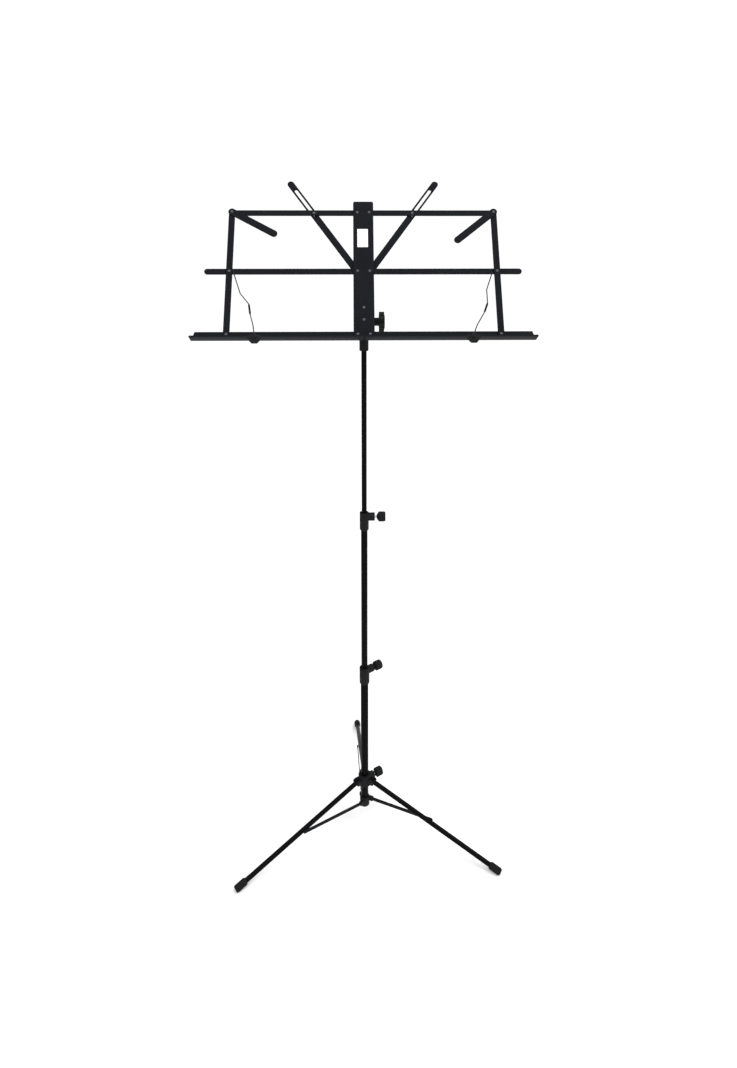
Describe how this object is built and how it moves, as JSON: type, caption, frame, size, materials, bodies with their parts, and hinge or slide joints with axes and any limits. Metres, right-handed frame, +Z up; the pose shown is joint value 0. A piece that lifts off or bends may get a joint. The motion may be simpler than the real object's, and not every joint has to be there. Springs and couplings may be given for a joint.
{
  "type": "folding music stand",
  "caption": "Folding music stand with a telescopic mast on a tripod and a hinged bar desk that tilts, turns and folds up.",
  "frame": {"origin": "on the floor, under the middle of the stand's box; the mast stands 71 mm in front of it", "axes": "+Z up, +Y to the back of the desk (away from the player), +X to the player's right"},
  "size_m": [0.618, 0.4867, 1.3719],
  "materials": {
    "black_paint": "satin black paint on steel",
    "black_plastic": "matt moulded black plastic",
    "nylon": "plain pale nylon",
    "rubber": "matt black rubber",
    "steel": "plain steel",
    "brass": "plain turned brass",
    "paper": "plain off-white paper"
  },
  "bodies": {
    "lower_mast": {"lower_tube": "black_paint", "bottom_collar": "black_plastic", "collar_pins": "steel", "lower_clamp_body": "black_plastic", "lower_clamp_nut": "brass"},
    "lower_screw": {"lower_clamp_stud": "steel", "lower_clamp_knob": "black_plastic"},
    "middle_mast": {"middle_tube": "black_paint", "middle_tube_bush": "nylon", "upper_clamp_body": "black_plastic", "upper_clamp_nut": "brass"},
    "upper_screw": {"upper_clamp_stud": "steel", "upper_clamp_knob": "black_plastic"},
    "upper_mast": {"upper_tube": "black_paint", "upper_tube_bush": "nylon"},
    "socket": {"desk_socket": "black_plastic"},
    "desk": {"centre_plate": "black_paint", "plate_rivets": "steel", "label": "paper", "tilt_yoke": "black_paint", "tilt_bolt": "steel"},
    "tilt_knob": {"tilt_knob": "black_plastic"},
    "hub": {"hub": "black_plastic", "hub_nut": "brass", "leg_pins": "steel"},
    "hub_screw": {"hub_stud": "steel", "hub_knob": "black_plastic"},
    "leg_front_left": {"leg_front_left": "black_paint", "foot_front_left": "rubber"},
    "strut_front_left": {"strut_front_left": "black_paint"},
    "leg_front_right": {"leg_front_right": "black_paint", "foot_front_right": "rubber"},
    "strut_front_right": {"strut_front_right": "black_paint"},
    "leg_rear": {"leg_rear": "black_paint", "foot_rear": "rubber"},
    "strut_rear": {"strut_rear": "black_paint"},
    "left_upper": {"left_upper_bar": "black_paint", "left_upper_bar_rivets": "steel"},
    "left_middle": {"left_middle_bar": "black_paint", "left_middle_bar_rivet": "steel"},
    "left_upright": {"left_upright": "black_paint"},
    "left_slotted": {"left_slotted_arm": "black_paint"},
    "left_ledge_half": {"left_ledge": "black_paint", "left_ledge_rivet": "steel", "left_holder_clip": "black_plastic"},
    "left_corner": {"left_corner_arm": "black_paint"},
    "left_holder": {"left_holder_wire": "black_paint", "left_holder_sleeve": "black_plastic"},
    "right_upper": {"right_upper_bar": "black_paint", "right_upper_bar_rivets": "steel"},
    "right_middle": {"right_middle_bar": "black_paint", "right_middle_bar_rivet": "steel"},
    "right_upright": {"right_upright": "black_paint"},
    "right_slotted": {"right_slotted_arm": "black_paint"},
    "right_ledge_half": {"right_ledge": "black_paint", "right_ledge_rivet": "steel", "right_holder_clip": "black_plastic"},
    "right_corner": {"right_corner_arm": "black_paint"},
    "right_holder": {"right_holder_wire": "black_paint", "right_holder_sleeve": "black_plastic"}
  },
  "joints": [
    {"name": "hub_slide", "type": "slide", "parent": "lower_mast", "child": "hub", "axis": [0, 0, 1], "range_m": [0, 0.22811]},
    {"name": "leg_front_left_hinge", "type": "hinge", "parent": "hub", "child": "leg_front_left", "pos_m": [-0.01677, -0.08141, 0.11201], "axis": [0.5446, -0.8387, 0], "range_deg": [0, 65.91]},
    {"name": "strut_front_left_hinge", "type": "hinge", "parent": "lower_mast", "child": "strut_front_left", "pos_m": [-0.01174, -0.07814, 0.058], "axis": [-0.5446, 0.8387, 0], "range_deg": [0, 81.49]},
    {"name": "leg_front_right_hinge", "type": "hinge", "parent": "hub", "child": "leg_front_right", "pos_m": [0.01782, -0.0796, 0.11201], "axis": [0.454, 0.891, 0], "range_deg": [0, 65.91]},
    {"name": "strut_front_right_hinge", "type": "hinge", "parent": "lower_mast", "child": "strut_front_right", "pos_m": [0.01247, -0.07687, 0.058], "axis": [-0.454, -0.891, 0], "range_deg": [0, 81.49]},
    {"name": "leg_rear_hinge", "type": "hinge", "parent": "hub", "child": "leg_rear", "pos_m": [-0.00105, -0.05054, 0.11201], "axis": [-0.9986, -0.0523, 0], "range_deg": [0, 65.91]},
    {"name": "strut_rear_hinge", "type": "hinge", "parent": "lower_mast", "child": "strut_rear", "pos_m": [-0.00073, -0.05654, 0.058], "axis": [0.9986, 0.0523, 0], "range_deg": [0, 81.49]},
    {"name": "middle_slide", "type": "slide", "parent": "lower_mast", "child": "middle_mast", "axis": [0, 0, -1], "range_m": [0, 0.285]},
    {"name": "upper_slide", "type": "slide", "parent": "middle_mast", "child": "upper_mast", "axis": [0, 0, -1], "range_m": [0, 0.32]},
    {"name": "desk_swivel", "type": "hinge", "parent": "upper_mast", "child": "socket", "pos_m": [0, -0.07052, 1.0645], "axis": [0, 0, 1], "continuous": true},
    {"name": "desk_tilt", "type": "hinge", "parent": "socket", "child": "desk", "pos_m": [0, -0.07052, 1.1181], "axis": [1, 0, 0], "range_deg": [-60, 30]},
    {"name": "tilt_knob_turn", "type": "hinge", "parent": "desk", "child": "tilt_knob", "pos_m": [0, -0.07052, 1.1181], "axis": [1, 0, 0], "range_deg": [0, 360]},
    {"name": "lower_clamp_screw", "type": "hinge", "parent": "lower_mast", "child": "lower_screw", "pos_m": [0, -0.07052, 0.383], "axis": [0.809, 0.5878, 0], "range_deg": [0, 360]},
    {"name": "upper_clamp_screw", "type": "hinge", "parent": "middle_mast", "child": "upper_screw", "pos_m": [0, -0.07052, 0.733], "axis": [1, 0, 0], "range_deg": [0, 360]},
    {"name": "hub_screw_turn", "type": "hinge", "parent": "hub", "child": "hub_screw", "pos_m": [0, -0.07052, 0.11201], "axis": [0.8387, 0.5446, 0], "range_deg": [0, 360]},
    {"name": "left_fold", "type": "hinge", "parent": "desk", "child": "left_upper", "pos_m": [-0.0112, 0.01495, 1.31413], "axis": [0, 0.866, -0.5], "range_deg": [0, 84]},
    {"name": "left_middle_hinge", "type": "hinge", "parent": "desk", "child": "left_middle", "pos_m": [-0.0112, -0.0458, 1.20891], "axis": [0, 0.866, -0.5], "range_deg": [0, 84]},
    {"name": "left_ledge_hinge", "type": "hinge", "parent": "desk", "child": "left_ledge_half", "pos_m": [-0.0112, -0.10805, 1.10109], "axis": [0, 0.866, -0.5], "range_deg": [0, 84]},
    {"name": "left_upright_hinge", "type": "hinge", "parent": "left_upper", "child": "left_upright", "pos_m": [-0.2465, 0.01495, 1.31413], "axis": [0, 0.866, -0.5], "range_deg": [-84, 0]},
    {"name": "left_slotted_hinge", "type": "hinge", "parent": "desk", "child": "left_slotted", "pos_m": [-0.0112, -0.0458, 1.20891], "axis": [0, 0.866, -0.5], "range_deg": [0, 31.63]},
    {"name": "left_corner_arm_hinge", "type": "hinge", "parent": "left_upper", "child": "left_corner", "pos_m": [-0.2465, 0.01495, 1.31413], "axis": [0, -0.866, 0.5], "range_deg": [-60, 30]},
    {"name": "left_holder_hinge", "type": "hinge", "parent": "left_ledge_half", "child": "left_holder", "pos_m": [-0.193, -0.11405, 1.0907], "axis": [0, -0.866, 0.5], "range_deg": [-60, 55]},
    {"name": "right_fold", "type": "hinge", "parent": "desk", "child": "right_upper", "pos_m": [0.0112, 0.01495, 1.31413], "axis": [0, -0.866, 0.5], "range_deg": [0, 84]},
    {"name": "right_middle_hinge", "type": "hinge", "parent": "desk", "child": "right_middle", "pos_m": [0.0112, -0.0458, 1.20891], "axis": [0, -0.866, 0.5], "range_deg": [0, 84]},
    {"name": "right_ledge_hinge", "type": "hinge", "parent": "desk", "child": "right_ledge_half", "pos_m": [0.0112, -0.10805, 1.10109], "axis": [0, -0.866, 0.5], "range_deg": [0, 84]},
    {"name": "right_upright_hinge", "type": "hinge", "parent": "right_upper", "child": "right_upright", "pos_m": [0.2465, 0.01495, 1.31413], "axis": [0, -0.866, 0.5], "range_deg": [-84, 0]},
    {"name": "right_slotted_hinge", "type": "hinge", "parent": "desk", "child": "right_slotted", "pos_m": [0.0112, -0.0458, 1.20891], "axis": [0, -0.866, 0.5], "range_deg": [0, 31.63]},
    {"name": "right_corner_arm_hinge", "type": "hinge", "parent": "right_upper", "child": "right_corner", "pos_m": [0.2465, 0.01495, 1.31413], "axis": [0, 0.866, -0.5], "range_deg": [-50, 40]},
    {"name": "right_holder_hinge", "type": "hinge", "parent": "right_ledge_half", "child": "right_holder", "pos_m": [0.193, -0.11405, 1.0907], "axis": [0, 0.866, -0.5], "range_deg": [-60, 55]}
  ],
  "couplings": [
    {"joint": "leg_front_left_hinge", "follows": "hub_slide", "rad_per_m": 5.0422},
    {"joint": "strut_front_left_hinge", "follows": "hub_slide", "rad_per_m": 6.2343},
    {"joint": "leg_front_right_hinge", "follows": "hub_slide", "rad_per_m": 5.0422},
    {"joint": "strut_front_right_hinge", "follows": "hub_slide", "rad_per_m": 6.2343},
    {"joint": "leg_rear_hinge", "follows": "hub_slide", "rad_per_m": 5.0422},
    {"joint": "strut_rear_hinge", "follows": "hub_slide", "rad_per_m": 6.2343},
    {"joint": "left_middle_hinge", "follows": "left_fold", "ratio": 1},
    {"joint": "left_ledge_hinge", "follows": "left_fold", "ratio": 1},
    {"joint": "left_upright_hinge", "follows": "left_fold", "ratio": -1},
    {"joint": "left_slotted_hinge", "follows": "left_fold", "ratio": 0.37639},
    {"joint": "right_middle_hinge", "follows": "right_fold", "ratio": 1},
    {"joint": "right_ledge_hinge", "follows": "right_fold", "ratio": 1},
    {"joint": "right_upright_hinge", "follows": "right_fold", "ratio": -1},
    {"joint": "right_slotted_hinge", "follows": "right_fold", "ratio": 0.37639}
  ]
}
